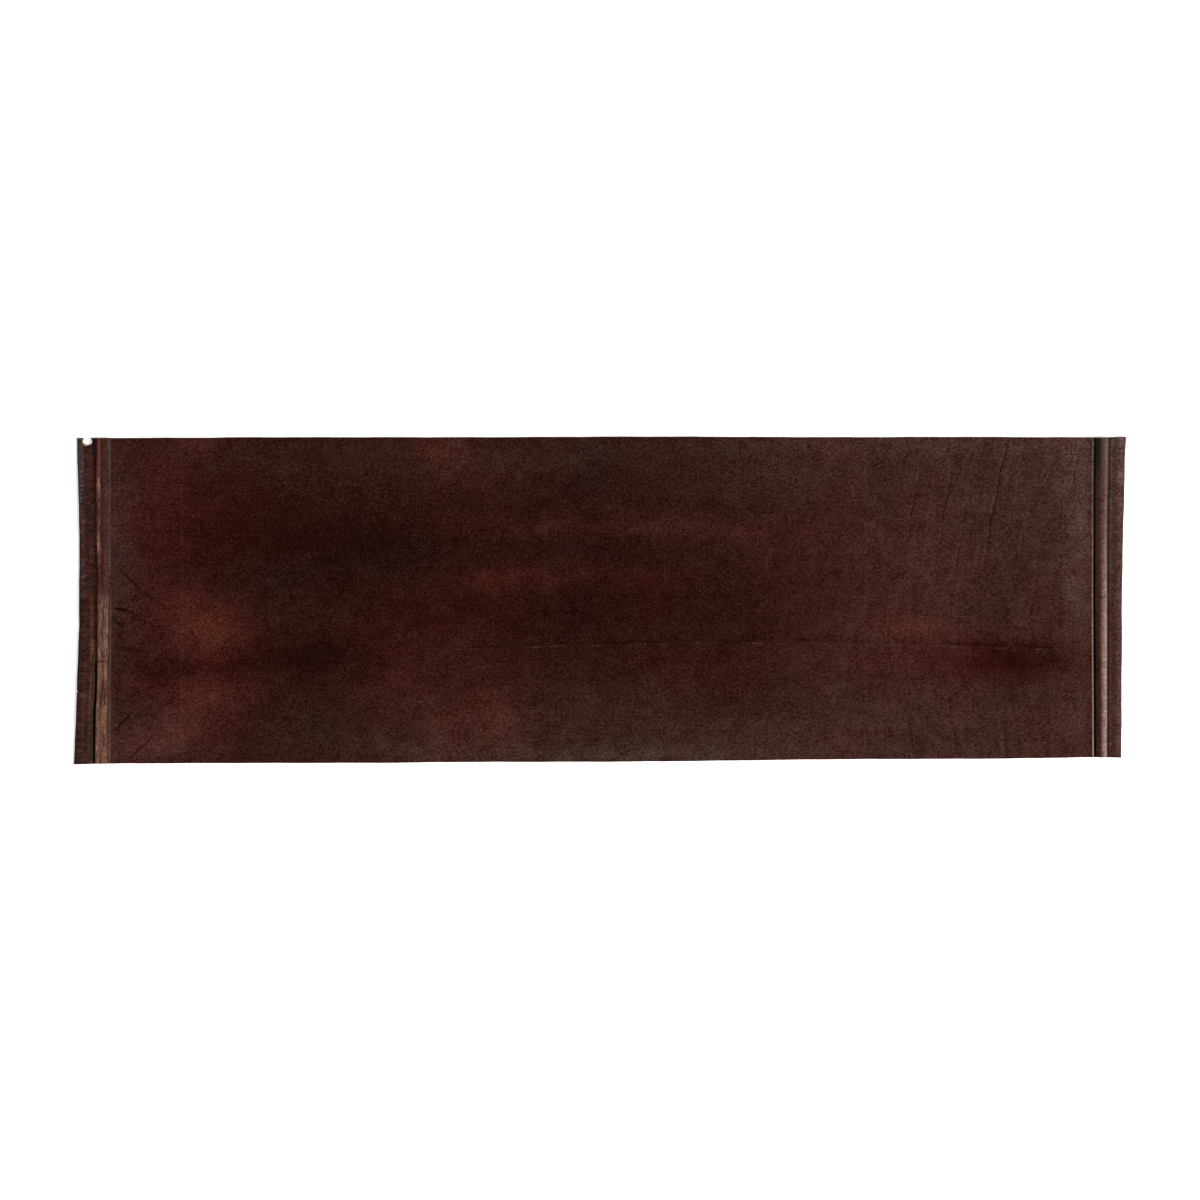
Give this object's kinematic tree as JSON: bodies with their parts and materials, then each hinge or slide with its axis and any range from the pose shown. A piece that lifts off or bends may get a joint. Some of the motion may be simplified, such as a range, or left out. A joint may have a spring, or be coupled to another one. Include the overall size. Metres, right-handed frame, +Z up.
{
  "type": "leather hide",
  "caption": "Long flat cut of dark red-brown leather hide, with a raised creased roll and a flap at each end, neck wrinkles and a torn corner hole.",
  "frame": {"origin": "middle of the hide's outline, on the surface it lies on", "axes": "+X along the back from the tail end to the neck end, +Y across the hide, +Z up through the leather"},
  "size_m": [2.0068, 0.6248, 0.0126],
  "materials": {
    "worn_leather": "dark red-brown, lightly polished grain with worn pale rolls"
  },
  "bodies": {
    "root": {"leather_hide": "worn_leather"}
  },
  "joints": []
}
